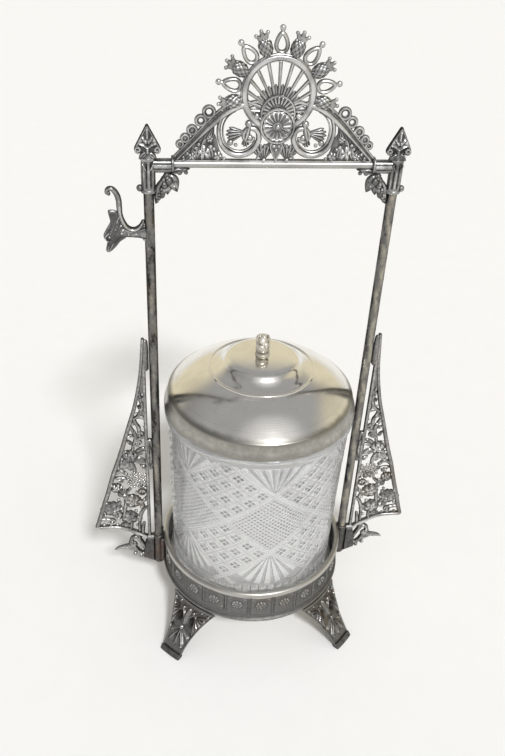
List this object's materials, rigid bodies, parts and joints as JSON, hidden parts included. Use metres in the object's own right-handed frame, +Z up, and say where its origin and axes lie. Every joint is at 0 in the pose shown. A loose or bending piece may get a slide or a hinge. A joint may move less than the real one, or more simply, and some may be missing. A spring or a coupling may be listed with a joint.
{
  "type": "pickle castor",
  "caption": "Table castor: a footed silver-plated frame with openwork wings and crest holds a patterned glass jar with a lift-off metal lid and a side hook for tongs.",
  "frame": {"origin": "on the table under the middle of the jar", "axes": "+Z up; +X towards the upright without the hook, so the hook's upright is at -X; -Y is the front, where the crest's boss faces"},
  "size_m": [0.157, 0.0972, 0.2785],
  "materials": {
    "tarnished_silver": "tarnished cast silver plate",
    "polished_silver": "polished silver plate",
    "clear_glass": "pressed clear glass"
  },
  "bodies": {
    "frame": {"base_plate": "tarnished_silver", "lower_rim": "tarnished_silver", "gallery_band": "tarnished_silver", "upper_rim": "polished_silver", "foot_front_left": "tarnished_silver", "foot_front_right": "tarnished_silver", "foot_back_left": "tarnished_silver", "foot_back_right": "tarnished_silver", "socket_left": "tarnished_silver", "socket_right": "tarnished_silver", "upright_left": "tarnished_silver", "upright_right": "tarnished_silver", "wing_left": "tarnished_silver", "wing_right": "tarnished_silver", "elbow_left": "tarnished_silver", "elbow_right": "tarnished_silver", "spandrel_left": "tarnished_silver", "spandrel_right": "tarnished_silver", "arrow_left": "tarnished_silver", "arrow_right": "tarnished_silver", "crossbar": "tarnished_silver", "collar_left": "tarnished_silver", "collar_right": "tarnished_silver", "crest": "tarnished_silver", "crest_boss": "tarnished_silver", "tong_hook": "tarnished_silver"},
    "jar": {"jar": "clear_glass"},
    "lid": {"lid_shell": "polished_silver", "lid_bezel": "polished_silver", "lid_finial": "tarnished_silver", "lid_nut": "polished_silver"}
  },
  "joints": [
    {"name": "jar_lift", "type": "slide", "parent": "frame", "child": "jar", "axis": [0, 0, 1], "range_m": [0, 0.025]},
    {"name": "lid_lift", "type": "slide", "parent": "jar", "child": "lid", "axis": [0, 0, 1], "range_m": [0, 0.04]}
  ]
}
